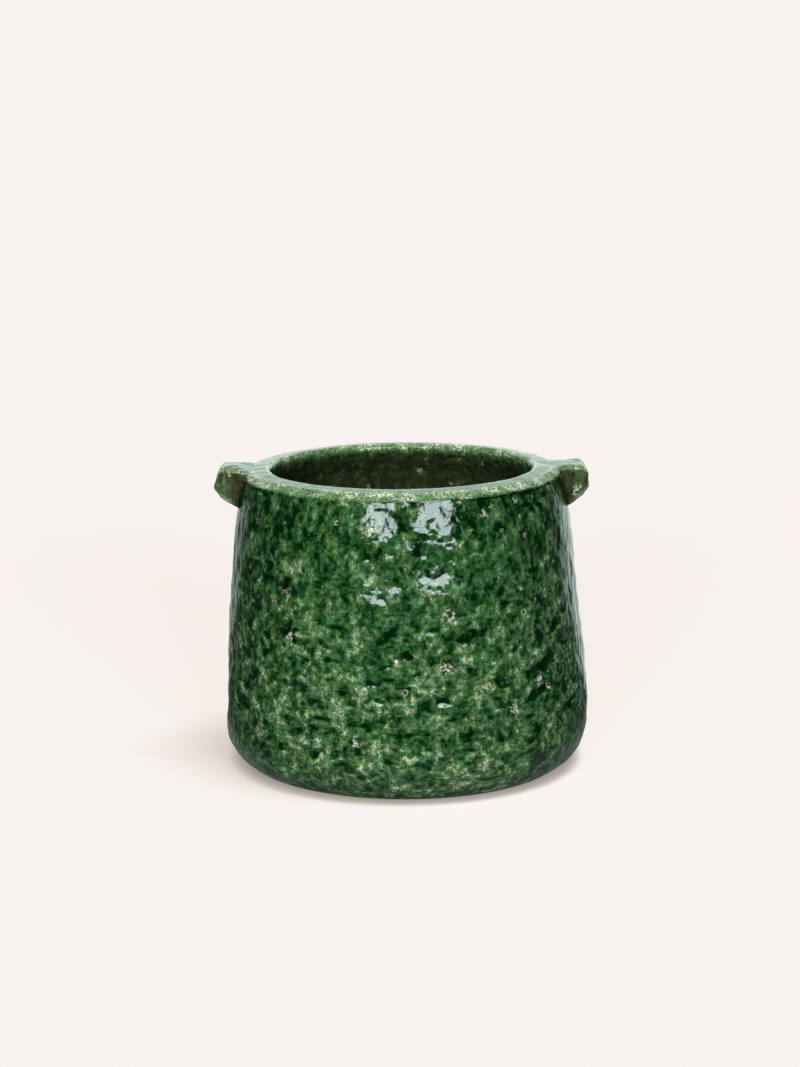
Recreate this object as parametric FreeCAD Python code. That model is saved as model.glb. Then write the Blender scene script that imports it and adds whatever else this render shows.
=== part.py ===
import FreeCAD, Part
import math
import os

from FreeCAD import Vector

# Green glazed stoneware flower pot with two lugs at the rim, in millimetres.
# The frame stands on the centre of the foot, +Z up, with the lugs along X.
# The pot is hand-built from six clay pieces that are luted together before firing:
# a floor slab, a wall, a rim coil, two lugs and a seam coil inside the foot.

# Outline of the vessel. Every radius is set in from the belly, its widest line.
pot_height = 150.0
belly_radius = 91.8
belly_height = 21.5
foot_inset = 12.8
waist_inset = 3.2
waist_height_share = 0.5
shoulder_inset = 6.1
shoulder_height_share = 0.7
neck_inset = 9.9
rim_inset = 12.8

# Clay thicknesses
wall_thickness = 10.5
rim_thickness = 13.3
floor_thickness = 12.0
floor_draw = 3.3  # the inside narrows by this much from belly to floor

# The rim's top edges: pared to a bevel outside and rounded inside
rim_bevel = 4.0
rim_inner_round = 2.5

# Hollow under the foot, which leaves a ring to stand on
foot_ring_width = 13.0
foot_hollow_depth = 1.8
foot_hollow_draft = 2.5

# Luted seams: the slab's rebate for the wall, the ridge that keys the rim coil,
# and the coil that fills the corner between floor and wall
slab_rebate = 3.0
rim_coil_height = 16.0
ridge_radius = 2.2
seam_coil_radius = 8.0

# Lugs, one each side
lug_length = 14.4  # from the rim's outside to the lug's end
lug_flare_length = 7.0  # the part of that length where its sides flare to the root
lug_root_height = 20.0
lug_end_height = 10.5
lug_root_half_width = 18.0
lug_neck_half_width = 12.5
lug_end_half_width = 11.0
lug_flare_round = 8.0
lug_lower_round = 3.5
right_lug_upper_round = 2.5
right_lug_plan_corner = 5.0
left_lug_upper_round = 4.0
left_lug_plan_corner = 5.5
lug_seat_depth = 1.2  # how far a lug is pressed into the wall and rim

# Cutting tools run past what they cut by this much
overrun = 5.0

# Radii and heights worked out from the sizes above
foot_radius = belly_radius - foot_inset
waist_radius = belly_radius - waist_inset
shoulder_radius = belly_radius - shoulder_inset
neck_radius = belly_radius - neck_inset
rim_radius = belly_radius - rim_inset
crest_radius = rim_radius - rim_bevel
mouth_radius = rim_radius - rim_thickness
floor_radius = belly_radius - wall_thickness - floor_draw
lug_reach = rim_radius + lug_length
waist_height = pot_height * waist_height_share
shoulder_height = pot_height * shoulder_height_share
neck_height = pot_height - rim_coil_height
seat_height = floor_thickness - slab_rebate

UP = Vector(0, 0, 1)
ORIGIN = Vector(0, 0, 0)
FULL_TURN = 360.0
HALF_TURN = 180.0


def at(radius, height):
    """A point of the pot's section, which lies in the XZ plane."""
    return Vector(radius, 0, height)


def line(start, end):
    return Part.LineSegment(start, end).toShape()


def arc(start, centre, end):
    """The shorter arc from start to end about the centre."""
    radius = (start - centre).Length
    middle = (start + end) * 0.5 - centre
    return Part.Arc(start, centre + middle.normalize() * radius, end).toShape()


def spline(points, first_direction, last_direction):
    """A smooth curve through the points that leaves and arrives along the two directions."""
    curve = Part.BSplineCurve()
    curve.interpolate(Points=points, InitialTangent=first_direction, FinalTangent=last_direction)
    return curve.toShape()


def rounded_outline(corners):
    """A closed face from (point, radius) corners, each rounded by an arc of its radius."""
    edges = []
    arrivals = []
    departures = []
    count = len(corners)
    for index, (point, radius) in enumerate(corners):
        back = (corners[index - 1][0] - point).normalize()
        ahead = (corners[(index + 1) % count][0] - point).normalize()
        half_angle = back.getAngle(ahead) / 2
        run = radius / math.tan(half_angle)
        arrivals.append(point + back * run)
        departures.append(point + ahead * run)
        if radius > 0:
            bisector = (back + ahead).normalize()
            centre = point + bisector * (radius / math.sin(half_angle))
            edges.append(arc(arrivals[-1], centre, departures[-1]))
    for index in range(count):
        edges.append(line(departures[index - 1], arrivals[index]))
    return Part.Face(Part.Wire(Part.__sortEdges__(edges)))


def turned(edges):
    """The solid that a closed section makes when it is turned about the pot's axis."""
    return Part.Face(Part.Wire(edges)).revolve(ORIGIN, UP, FULL_TURN)


def disc(radius, bottom, top):
    return Part.makeCylinder(radius, top - bottom, at(0, bottom), UP)


def outer_form(inset):
    """The pot's outside as a full solid, with its foot, wall and rim set in by the inset."""
    foot = at(foot_radius - inset, 0)
    belly = at(belly_radius - inset, belly_height)
    waist = at(waist_radius - inset, waist_height)
    shoulder = at(shoulder_radius - inset, shoulder_height)
    neck = at(neck_radius - inset, neck_height)
    lip = at(rim_radius - inset, pot_height - rim_bevel)
    crest = at(crest_radius, pot_height - inset)
    top = at(0, pot_height - inset)

    # The foot's curve is an arc that runs upright into the belly
    foot_arc_radius = (foot_inset**2 + belly_height**2) / (2 * foot_inset)
    foot_arc_centre = belly - Vector(foot_arc_radius, 0, 0)
    return turned([
        line(ORIGIN, foot),
        arc(foot, foot_arc_centre, belly),
        spline([belly, waist, shoulder, neck, lip], UP, lip - neck),
        line(lip, crest),
        line(crest, top),
        line(top, ORIGIN),
    ])


def inside_form():
    """The hollow as a full solid, with a square corner at the floor and a rounded mouth."""
    above = pot_height + overrun
    mouth_edge = at(mouth_radius + rim_inner_round, pot_height)
    mouth = at(mouth_radius, pot_height - rim_inner_round)
    mouth_arc_centre = at(mouth_edge.x, mouth.z)
    neck = at(neck_radius - wall_thickness, neck_height)
    shoulder = at(shoulder_radius - wall_thickness, shoulder_height)
    waist = at(waist_radius - wall_thickness, waist_height)
    belly = at(belly_radius - wall_thickness, belly_height)
    floor_edge = at(floor_radius, floor_thickness)

    # Below the neck the inside keeps the wall's thickness; above it the mouth closes in under the rim
    down_the_wall = shoulder - neck
    return turned([
        line(at(0, above), at(mouth_edge.x, above)),
        line(at(mouth_edge.x, above), mouth_edge),
        arc(mouth_edge, mouth_arc_centre, mouth),
        spline([mouth, neck], -UP, down_the_wall),
        spline([neck, shoulder, waist, belly], down_the_wall, -UP),
        line(belly, floor_edge),
        line(floor_edge, at(0, floor_thickness)),
        line(at(0, floor_thickness), at(0, above)),
    ])


def foot_hollow():
    """The shallow hollow that is turned under the floor slab."""
    edge = at(foot_radius - foot_ring_width, 0)
    ceiling = edge + at(-foot_hollow_draft, foot_hollow_depth)
    centre = at(0, foot_hollow_depth)
    return turned([
        line(ORIGIN, edge),
        line(edge, ceiling),
        line(ceiling, centre),
        line(centre, ORIGIN),
    ])


def seat_ridge():
    """The round ridge on the wall's top edge that keys the rim coil."""
    middle_radius = neck_radius - wall_thickness / 2
    return Part.makeTorus(middle_radius, ridge_radius, at(0, neck_height), UP)


def make_base_slab(vessel):
    """The floor slab, stepped round its edge where the wall stands on it."""
    slab = vessel.common(disc(belly_radius + overrun, -overrun, seat_height))
    floor = disc(floor_radius, seat_height, floor_thickness)
    return slab.fuse(floor).cut(foot_hollow()).removeSplitter()


def make_wall(vessel):
    """The wall, from the slab's step up to the ridge under the rim coil."""
    band = vessel.common(disc(belly_radius + overrun, seat_height, neck_height))
    floor = disc(floor_radius, -overrun, floor_thickness)
    return band.cut(floor).fuse(seat_ridge()).removeSplitter()


def make_rim_coil(vessel):
    """The thick coil that finishes the mouth, grooved to sit on the wall's ridge."""
    band = vessel.common(disc(belly_radius + overrun, neck_height, pot_height + overrun))
    return band.cut(seat_ridge())


def make_seam_coil():
    """The coil that is pressed into the corner of floor and wall and wiped to a cove."""
    corner = at(floor_radius, floor_thickness)
    up_the_wall = at(floor_draw, belly_height - floor_thickness).normalize()
    across_the_floor = at(-1, 0)
    half_angle = up_the_wall.getAngle(across_the_floor) / 2
    run = seam_coil_radius / math.tan(half_angle)
    bisector = (up_the_wall + across_the_floor).normalize()
    cove_centre = corner + bisector * (seam_coil_radius / math.sin(half_angle))
    on_floor = corner + across_the_floor * run
    on_wall = corner + up_the_wall * run
    return turned([
        line(on_floor, corner),
        line(corner, on_wall),
        arc(on_wall, cove_centre, on_floor),
    ])


def lug_blank(plan_corner):
    """A lug before its edges are softened: its plan, cut off above and along its sloping underside."""
    root = mouth_radius
    neck = rim_radius + lug_flare_length
    flare_slope = (lug_root_half_width - lug_neck_half_width) / lug_flare_length
    root_half_width = lug_root_half_width + flare_slope * (rim_radius - root)
    plan = rounded_outline([
        (Vector(root, -root_half_width, 0), 0),
        (Vector(neck, -lug_neck_half_width, 0), lug_flare_round),
        (Vector(lug_reach, -lug_end_half_width, 0), plan_corner),
        (Vector(lug_reach, lug_end_half_width, 0), plan_corner),
        (Vector(neck, lug_neck_half_width, 0), lug_flare_round),
        (Vector(root, root_half_width, 0), 0),
    ])

    # The underside slopes from the lug's end down to its root on the wall
    wall_end = at(neck_radius, pot_height - lug_root_height)
    free_end = at(lug_reach, pot_height - lug_end_height)
    slope = (free_end.z - wall_end.z) / (free_end.x - wall_end.x)
    inner = root - overrun
    outer = lug_reach + overrun
    front = rounded_outline([
        (at(inner, pot_height), 0),
        (at(outer, pot_height), 0),
        (at(outer, free_end.z + slope * overrun), 0),
        (at(inner, wall_end.z - slope * (wall_end.x - inner)), 0),
    ])
    half_width = Vector(0, root_half_width + overrun, 0)
    front_block = front.translated(-half_width).extrude(half_width * 2)
    plan_block = plan.extrude(UP * (pot_height + overrun))
    return front_block.common(plan_block)


def lug_rims(lug):
    """The edges round a lug's top and round its underside, but for those at the hidden root."""
    middle = pot_height - lug_end_height / 2
    outside = [edge for edge in lug.Edges if edge.BoundBox.XMax > rim_radius]
    upper = [edge for edge in outside if edge.BoundBox.ZMin > middle]
    lower = [edge for edge in outside if edge.BoundBox.ZMax < middle]
    return upper, lower


def make_lug(plan_corner, upper_round):
    """A lug with softened edges, bedded a little way into the rim and the wall."""
    blank = lug_blank(plan_corner)
    blank = blank.makeFillet(lug_lower_round, lug_rims(blank)[1])
    blank = blank.makeFillet(upper_round, lug_rims(blank)[0])
    crest = disc(crest_radius, 0, pot_height + overrun)
    return blank.cut(outer_form(lug_seat_depth)).cut(crest)


def save(name, shape):
    solids = shape.Solids
    print(name, "solids", len(solids), "valid", shape.isValid(), "volume", round(shape.Volume, 1))
    solid = solids[0] if len(solids) == 1 else shape
    solid.exportStep(os.path.join("parts", name + ".step"))


os.makedirs("parts", exist_ok=True)
pot = outer_form(0).cut(inside_form())
right_lug = make_lug(right_lug_plan_corner, right_lug_upper_round)
left_lug = make_lug(left_lug_plan_corner, left_lug_upper_round).rotated(ORIGIN, UP, HALF_TURN)
save("base_slab", make_base_slab(pot))
save("wall", make_wall(pot).cut(right_lug).cut(left_lug))
save("rim_coil", make_rim_coil(pot).cut(right_lug).cut(left_lug))
save("seam_coil", make_seam_coil())
save("right_lug", right_lug)
save("left_lug", left_lug)
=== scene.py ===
import math

import bpy
import numpy as np
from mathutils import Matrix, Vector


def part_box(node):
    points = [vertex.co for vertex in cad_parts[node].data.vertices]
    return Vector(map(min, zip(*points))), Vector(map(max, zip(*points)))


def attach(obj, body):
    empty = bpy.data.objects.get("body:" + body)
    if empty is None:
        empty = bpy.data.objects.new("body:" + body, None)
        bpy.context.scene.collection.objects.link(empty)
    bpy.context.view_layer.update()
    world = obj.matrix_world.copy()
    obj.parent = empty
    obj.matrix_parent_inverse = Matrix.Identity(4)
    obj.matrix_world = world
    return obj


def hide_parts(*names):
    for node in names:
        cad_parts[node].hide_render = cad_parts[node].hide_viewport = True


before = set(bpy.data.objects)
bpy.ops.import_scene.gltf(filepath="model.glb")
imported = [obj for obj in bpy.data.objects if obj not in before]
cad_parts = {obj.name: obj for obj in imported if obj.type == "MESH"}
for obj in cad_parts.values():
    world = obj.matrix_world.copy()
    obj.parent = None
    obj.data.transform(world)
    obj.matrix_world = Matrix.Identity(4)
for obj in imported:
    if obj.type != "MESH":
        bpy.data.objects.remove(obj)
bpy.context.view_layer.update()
print("frame loaded:", ", ".join(sorted(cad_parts)))

mm = 0.001  # lengths below are in millimetres and become metres when a mesh is made


def nodeBox(node):
    # lowest and highest corner of a CAD node, in millimetres
    return [np.array(corner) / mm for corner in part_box(node)]


slabBox = nodeBox("base_slab")
wallBox = nodeBox("wall")
rimBox = nodeBox("rim_coil")
potTop = rimBox[1][2]
neckZ = rimBox[0][2]  # where the rim coil sits on the wall
seatZ = wallBox[0][2]  # where the wall stands on the slab
floorZ = slabBox[1][2]
coveZ = nodeBox("seam_coil")[1][2]
bellyRadius = wallBox[1][1]


# Numbers and noise

def ease(low, high, value):
    # 0 below low, 1 above high and a smooth S between
    t = np.clip((value - low) / (high - low), 0.0, 1.0)
    return t * t * (3.0 - 2.0 * t)


def latticeHash(cell, seed):
    # a fixed number from 0 to 1 for each whole-numbered cell
    mixed = (cell[..., 0] * 374761393 + cell[..., 1] * 668265263 + cell[..., 2] * 982451653 + seed * 1274126177)
    mixed = mixed & 0xFFFFFFFF
    mixed = ((mixed ^ (mixed >> 13)) * 1274126177) & 0xFFFFFFFF
    return (mixed ^ (mixed >> 16)) / 4294967295.0


def noise(points, size, seed):
    # gradient noise about -1 to 1: a random slope at each lattice corner, blended smoothly between the eight corners
    place = points / size
    cell = np.floor(place).astype(np.int64)
    inside = place - cell
    blend = inside ** 3 * (inside * (inside * 6.0 - 15.0) + 10.0)
    total = np.zeros(points.shape[:-1])
    for corner in np.ndindex(2, 2, 2):
        step = np.array(corner)
        turn = latticeHash(cell + step, seed) * 2.0 * math.pi
        rise = latticeHash(cell + step, seed + 17) * 2.0 - 1.0
        flat = np.sqrt(1.0 - rise * rise)
        slope = np.stack([flat * np.cos(turn), flat * np.sin(turn), rise], axis=-1)
        weight = np.prod(np.where(step == 1, blend, 1.0 - blend), axis=-1)
        total += weight * np.sum(slope * (inside - step), axis=-1)
    return total * 1.6


def smoothCurve(knots, x):
    # cubic curve through the knots, with each knot's slope taken from its neighbours
    knotX, knotY = np.array(knots, float).T
    slope = np.gradient(knotY, knotX)
    i = np.clip(np.searchsorted(knotX, x) - 1, 0, len(knotX) - 2)
    span = knotX[i + 1] - knotX[i]
    t = (x - knotX[i]) / span
    bend = span * ((t ** 3 - 2 * t ** 2 + t) * slope[i] + (t ** 3 - t ** 2) * slope[i + 1])
    return knotY[i] + (3 * t ** 2 - 2 * t ** 3) * (knotY[i + 1] - knotY[i]) + bend


# The pot's section, from the foot's edge up the outside, over the rim and down to the floor

section = {
    "bellyZ": 22.0,
    "footInset": 12.2,
    "footPower": 3.0,  # above 2 the foot turns under more tightly than an arc
    "outside": [(22, 0.0), (45, 0.9), (75, 3.2), (105, 6.1), (122, 7.9), (134, 9.9), (146, 12.8)],  # height, set-in
    "bevel": 4.0,
    "rimThickness": 13.3,
    "innerRound": 2.4,
    "rimFall": 0.7,  # the rim's top falls by this much towards its outside
    "mouthDrop": 16.0,  # the inside opens out to the wall over this height
    "wallThickness": 10.5,
    "floorDraw": 3.3,
    "overhang": 0.5,  # of the bevel's lower edge, towards the right
    "bevelFill": 1.6,  # fills the bevel in front of a lug
    "cornerSoftness": 0.32,
    "step": 0.1,
}


def buildSection():
    # a chain of (radius, height) points: foot curve, body curve, bevel, crest, mouth round, inside, floor corner
    lipZ = potTop - section["bevel"]
    outsideZ = np.arange(0.0, lipZ, section["step"])
    below = np.clip(1.0 - outsideZ / section["bellyZ"], 0, None)
    footInset = section["footInset"] * below ** section["footPower"]
    bodyInset = np.where(outsideZ > section["bellyZ"], smoothCurve(section["outside"], outsideZ), 0.0)
    chain = [np.stack([bellyRadius - footInset - bodyInset, outsideZ], axis=1)]

    lipRadius = bellyRadius - section["outside"][-1][1]
    mouthRadius = lipRadius - section["rimThickness"]
    roundRadius = section["innerRound"]
    quarter = np.linspace(0, math.pi / 2, 60)
    mouthArc = np.stack([
        mouthRadius + roundRadius - roundRadius * np.sin(quarter),
        potTop - roundRadius + roundRadius * np.cos(quarter),
    ], axis=1)
    insideZ = np.arange(potTop - roundRadius, floorZ, -section["step"])
    parallel = bellyRadius - smoothCurve(section["outside"], np.clip(insideZ, section["bellyZ"], lipZ))
    parallel = parallel - section["wallThickness"]
    opening = ease(0.0, section["mouthDrop"], potTop - roundRadius - insideZ)
    draw = section["floorDraw"] * np.clip((section["bellyZ"] - insideZ) / (section["bellyZ"] - floorZ), 0, 1)
    insideRadius = mouthRadius + (parallel - mouthRadius) * opening - draw
    chain += [[(lipRadius, lipZ), (lipRadius - section["bevel"], potTop - section["rimFall"])], mouthArc]
    chain += [np.stack([insideRadius, insideZ], axis=1), [(insideRadius[-1], floorZ)]]
    corners = np.concatenate([np.array(part, float) for part in chain])

    # even steps along the chain, then a running average that rounds its corners
    run = np.concatenate([[0], np.cumsum(np.hypot(*np.diff(corners, axis=0).T))])
    even = np.arange(0, run[-1], section["step"])
    chainR, chainZ = np.interp(even, run, corners[:, 0]), np.interp(even, run, corners[:, 1])
    reach = int(3 * section["cornerSoftness"] / section["step"])
    window = np.exp(-0.5 * (np.arange(-reach, reach + 1) * section["step"] / section["cornerSoftness"]) ** 2)
    window /= window.sum()
    rounded = []
    for line in (chainR, chainZ):
        withEnds = [2 * line[0] - line[reach:0:-1], line, 2 * line[-1] - line[-2:-reach - 2:-1]]
        rounded.append(np.convolve(np.concatenate(withEnds), window, "valid"))
    chainR, chainZ = rounded
    slopeR, slopeZ = np.gradient(chainR), np.gradient(chainZ)
    length = np.hypot(slopeR, slopeZ)
    turn = np.gradient(np.unwrap(np.arctan2(-slopeR, slopeZ)), even)  # radians per millimetre, above 0 where convex
    return {
        "run": even, "r": chainR, "z": chainZ,
        "normalR": slopeZ / length, "normalZ": -slopeR / length, "turn": turn,
    }


skin = buildSection()
crestRun = skin["run"][np.argmax(skin["z"])]
onOutside = skin["run"] < crestRun


def outsideRun(z):
    # distance along the section at which the outside reaches a height
    return np.interp(z, skin["z"][onOutside], skin["run"][onOutside])


def insideRun(z):
    return np.interp(-z, -skin["z"][~onOutside], skin["run"][~onOutside])


def onSection(run):
    # radius, height and outward direction at a distance along the section
    return [np.interp(run, skin["run"], skin[key]) for key in ("r", "z", "normalR", "normalZ")]


lipRun = outsideRun(potTop - section["bevel"])  # the bevel's lower edge
brimRun = outsideRun(potTop - section["rimFall"])  # the bevel's upper edge
mouthRun = insideRun(potTop - section["innerRound"])  # where the mouth's round meets the inside


# Hand-built unevenness and the relief of the glaze, shared by every piece so that they meet

lean = [(0, 0.1), (12, 0.4), (26, 1.1), (75, 0.0), (150, -1.6)]  # height, how far the axis stands to the right
rimTilt = 0.012  # the rim rises by this much for each millimetre to the right

relief = {
    "wave": (52.0, 0.55, 3),  # size across, height, seed
    "ridge": (24.0, 0.26, 11),
    "ridgeLength": 0.45,  # ridges are drawn out round the pot
    "lump": (9.0, 0.19, 23),
    "grain": (4.0, 0.07, 31),
    "sideLumps": 1.5,  # lumps and grain are greater by this share towards the sides
    "sideSpan": (0.55, 0.92),  # sine of the angle from the front
    "lowLumps": 0.8,  # and on the lower half
    "lowSpan": (96.0, 66.0),
    "streak": (2.6, 0.17, 59),  # upright ridges towards the sides
    "streakLength": 0.25,
    "streakSpan": (0.78, 0.93),
    "dent": (7.0, 0.13, 41),
    "dentDetail": (0.5, 0.4, 43),  # smaller dents: share of the size, share of the depth, seed
    "dentFlatness": 2.1,  # dents are this much longer than tall
    "dentStart": 0.20,
    "dentRise": (-0.05, 0.5),
    "dentSpan": (112.0, 75.0),  # they get commoner going down between these heights
    "dentPatches": (40.0, 0.45, 47),
    "outsideRadius": 60.0,  # marks and streaks keep outside this radius
    "footClear": (1.0, 7.0),  # the relief fades in over these heights
    "poolLevel": 0.4,  # how deep the glaze lies
    "darkerGoingUp": (0.3, 70.0, 125.0),  # darker going up between these heights
    "poolSide": (0.14, 0.5, 0.85),  # and towards the lugs
    "poolOver": (0.9, 1.2),  # shallower over lumps and grain
    "gougeWander": (5.0, 0.5, 53),  # size across, share of the width, seed
    "gougeLip": (1.7, 0.5),  # the raised lip below a stroke: widths away, share of the depth
    "gougePoolAndShade": (1.2, 0.5),  # how dark the stroke is, pooled glaze and painted shade, and how pale its lip, thin glaze and painted light
    "thumbs": [  # thumb marks: degrees to the right of the front, height, radius, depth
        (-10, 110, 9, 0.55),
        (9.5, 117, 9.5, 0.60),
        (7, 85, 5, 0.28),
        (-10.5, 81, 5, 0.26),
        (-38, 96, 10, 0.6),
        (44, 72, 10, 0.6),
        (120, 90, 11, 0.6),
        (-150, 70, 11, 0.6),
    ],
    "gouges": [  # finger strokes: degrees to the right of the front, height, length, width, slant, depth
        (50, 62, 9, 2.6, 20, 2),
        (44.7, 49, 9, 2.4, 22, 1.9),
        (57, 80, 7, 2.4, 30, 1.6),
        (61, 38, 7, 2.4, 25, 1.4),
        (33, 57, 8, 2.2, 18, 1.3),
        (20, 81, 4.5, 2.2, 4, 0.45),
        (-1, 73, 4.5, 2, 0, 0.45),
        (11, 51, 4, 2.2, 5, 0.45),
        (-41, 103.5, 3.5, 1.8, 65, 1.1),
        (-40, 82, 4.5, 1.8, 70, 1.1),
        (-34, 76, 5, 1.8, -20, 0.5),
        (135, 60, 9, 2.6, -15, 0.7),
        (-130, 100, 8, 2.6, 20, 0.7),
        (178, 84, 9, 2.4, 10, 0.6),
    ],
    "bursts": [  # places where the glaze has burst: degrees to the right of the front, height, radius
        (15, 92, 3.6),
        (12.6, 68, 3.6),
        (24, 131, 3),
        (28.5, 139, 3),
        (-10.6, 132.7, 2.6),
        (-41, 100, 4),
        (-39, 80, 4.4),
        (46, 55, 4.2),
        (34, 44, 3),
        (-16, 30, 3),
        (100, 70, 3.6),
        (150, 110, 3.4),
        (-120, 60, 3.4),
        (-165, 96, 3.6),
    ],
}


def bumps(points, name):
    # noise of one size and height
    size, height, seed = relief[name]
    return height * noise(points, size, seed)


def surfaceRelief(points):
    # height of the surface above the smooth section, and the marks that steer the glaze: how deep it lies from
    # 0 (crest) to 1 (pool), its dents, with the painted shade and light of the finger strokes, and its bursts
    x, y, z = np.moveaxis(points, -1, 0)
    radius = np.hypot(x, y)
    aside = np.abs(x) / np.maximum(radius, 1.0)  # 0 at the front and back, 1 at the lugs
    outside = radius > relief["outsideRadius"]
    uneven = 1.0 + relief["sideLumps"] * ease(*relief["sideSpan"], aside)
    uneven = np.maximum(uneven, 1.0 + relief["lowLumps"] * ease(*relief["lowSpan"], z))
    lump, grain = bumps(points, "lump") * uneven, bumps(points, "grain") * uneven
    ridged = bumps(points * np.array([relief["ridgeLength"], relief["ridgeLength"], 1.0]), "ridge")

    dentSize, dentDepth, dentSeed = relief["dent"]
    smaller, lesser, detailSeed = relief["dentDetail"]
    patchSize, patchShare, patchSeed = relief["dentPatches"]
    flat = points * np.array([1.0, 1.0, relief["dentFlatness"]])
    dent = noise(flat, dentSize, dentSeed) + lesser * noise(flat, dentSize * smaller, detailSeed) - relief["dentStart"]
    where = 0.6 + 0.4 * ease(*relief["dentSpan"], z) + patchShare * noise(points, patchSize, patchSeed)
    dent = dent * np.clip(where, 0.2, 1.2)

    height = bumps(points, "wave") + ridged + lump + grain - dentDepth * ease(*relief["dentRise"], dent)
    streak = bumps(points * np.array([1.0, 1.0, relief["streakLength"]]), "streak")
    height = height + streak * ease(*relief["streakSpan"], aside) * outside

    def onWall(degrees, markZ, slant=0.0):
        # distances along and across a mark on the outside
        turn = np.arctan2(x, -y) - math.radians(degrees)
        across = np.where(outside, radius * np.arctan2(np.sin(turn), np.cos(turn)), 1000.0)
        cos, sin = math.cos(math.radians(slant)), math.sin(math.radians(slant))
        return across * cos + (z - markZ) * sin, (z - markZ) * cos - across * sin

    for degrees, thumbZ, thumbRadius, depth in relief["thumbs"]:
        along, over = onWall(degrees, thumbZ)
        height = height - depth * np.exp(-(along ** 2 + over ** 2) / thumbRadius ** 2)
    wanderSize, wanderShare, wanderSeed = relief["gougeWander"]
    wander = noise(points, wanderSize, wanderSeed)
    lipAway, lipShare = relief["gougeLip"]
    strokePoolAndShade, lipThinAndLit = relief["gougePoolAndShade"]
    for degrees, gougeZ, length, width, slant, depth in relief["gouges"]:
        along, over = onWall(degrees, gougeZ, slant)
        over = over + wanderShare * width * wander
        stroke = np.exp(-(along / length) ** 2 - (over / width) ** 2)
        lip = np.exp(-(along / length) ** 2 - (over / width + lipAway) ** 2)
        height = height - depth * stroke + lipShare * depth * lip
        # a stroke darkens with pooled glaze and painted shade, its lip pales with thin glaze and painted light
        dent = dent + strokePoolAndShade * stroke - lipThinAndLit * lip
    burst = np.zeros(z.shape)
    for degrees, burstZ, burstRadius in relief["bursts"]:
        along, over = onWall(degrees, burstZ)
        burst = np.maximum(burst, np.exp(-(along ** 2 + over ** 2) / burstRadius ** 2))
    upDarkening, *highSpan = relief["darkerGoingUp"]
    sidePool, *sideSpan = relief["poolSide"]
    overLump, overGrain = relief["poolOver"]
    pool = relief["poolLevel"] + upDarkening * ease(*highSpan, z) - overLump * lump - overGrain * grain
    pool = pool + sidePool * ease(*sideSpan, aside)
    return ease(*relief["footClear"], z) * height, {"glazePoolAndShade": pool, "dent": dent, "burst": burst}


def handBuilt(points):
    # lean to the left with height, and a rim that is a little higher on the right
    x, y, z = np.moveaxis(points, -1, 0)
    return np.stack([x + smoothCurve(lean, z), y, z + rimTilt * x * ease(0.2, 1.0, z / potTop)], axis=-1)


def stepAround(grid):
    # from the column before to the column after
    return np.roll(grid, -1, axis=1) - np.roll(grid, 1, axis=1)


def gridNormals(points):
    # cross product of the steps along the rows and round the columns of a closed grid
    normal = np.cross(stepAround(points), np.gradient(points, axis=0))
    return normal / np.maximum(np.linalg.norm(normal, axis=-1, keepdims=True), 1e-9)


def convexity(points, normals):
    # the greater and lesser turn of a smooth form along its rows or round its columns, radians per millimetre
    turns = []
    for stepP, stepN in [
        (np.gradient(points, axis=0), np.gradient(normals, axis=0)),
        (stepAround(points), stepAround(normals)),
    ]:
        turns.append(np.sum(stepP * stepN, -1) / np.maximum(np.sum(stepP * stepP, -1), 1e-6))
    return np.maximum(*turns), np.minimum(*turns)


# Meshes from grids

potPieces = bpy.data.collections.new("potPieces")
bpy.context.scene.collection.children.link(potPieces)


def makePiece(name, rings, attributes, loop=False, poles=False):
    # rings[row, column] wrap round the columns; the rows close on themselves, or end in single points
    rows, columns = rings.shape[:2]
    index = np.arange(rows * columns).reshape(rows, columns)
    lower = index if loop else index[:-1]
    upper = np.roll(index, -1, axis=0) if loop else index[1:]
    quads = np.stack([lower, np.roll(lower, -1, 1), np.roll(upper, -1, 1), upper], axis=-1).reshape(-1, 4)
    points = rings.reshape(-1, 3)
    values = {key: value.reshape(-1) for key, value in attributes.items()}
    fans = []
    for row, turned in [(0, True), (rows - 1, False)] if poles else []:
        centre = len(points)
        points = np.concatenate([points, rings[row].mean(axis=0)[None]])
        values = {key: np.append(value, attributes[key][row].mean()) for key, value in values.items()}
        edge = index[row]
        pair = (np.roll(edge, -1), edge) if turned else (edge, np.roll(edge, -1))
        fans.append(np.stack([*pair, np.full(columns, centre)], axis=1))
    fans = np.concatenate(fans) if fans else np.zeros((0, 3), int)

    # the signed volume tells whether the faces look outwards
    a, b, c, d = (points[quads[:, k]] for k in range(4))
    volume = np.sum(a * np.cross(b, c)) + np.sum(a * np.cross(c, d))
    if len(fans):
        volume += np.sum(points[fans[:, 0]] * np.cross(points[fans[:, 1]], points[fans[:, 2]]))
    if volume < 0:
        quads, fans = quads[:, ::-1], fans[:, ::-1]

    mesh = bpy.data.meshes.new(name)
    mesh.vertices.add(len(points))
    mesh.vertices.foreach_set("co", (points * mm).astype(np.float32).ravel())
    corners = np.concatenate([quads.ravel(), fans.ravel()]).astype(np.int32)
    starts = np.concatenate([np.arange(len(quads)) * 4, len(quads) * 4 + np.arange(len(fans)) * 3])
    mesh.loops.add(len(corners))
    mesh.loops.foreach_set("vertex_index", corners)
    mesh.polygons.add(len(starts))
    mesh.polygons.foreach_set("loop_start", starts.astype(np.int32))
    mesh.update(calc_edges=True)
    mesh.validate()
    mesh.shade_smooth()
    for key, value in values.items():
        mesh.attributes.new(key, "FLOAT", "POINT").data.foreach_set("value", value.astype(np.float32))
    mesh.materials.append(glaze)
    piece = bpy.data.objects.new(name, mesh)
    potPieces.objects.link(piece)
    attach(piece, "root")
    print(f"{name}: {len(quads) * 2 + len(fans)} triangles")
    return piece


# Materials

def linear(hexColour):
    # sRGB hex to linear RGBA
    parts = [int(hexColour[i:i + 2], 16) / 255 for i in (1, 3, 5)]
    return tuple(p / 12.92 if p <= 0.04045 else ((p + 0.055) / 1.055) ** 2.4 for p in parts) + (1.0,)


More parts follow.
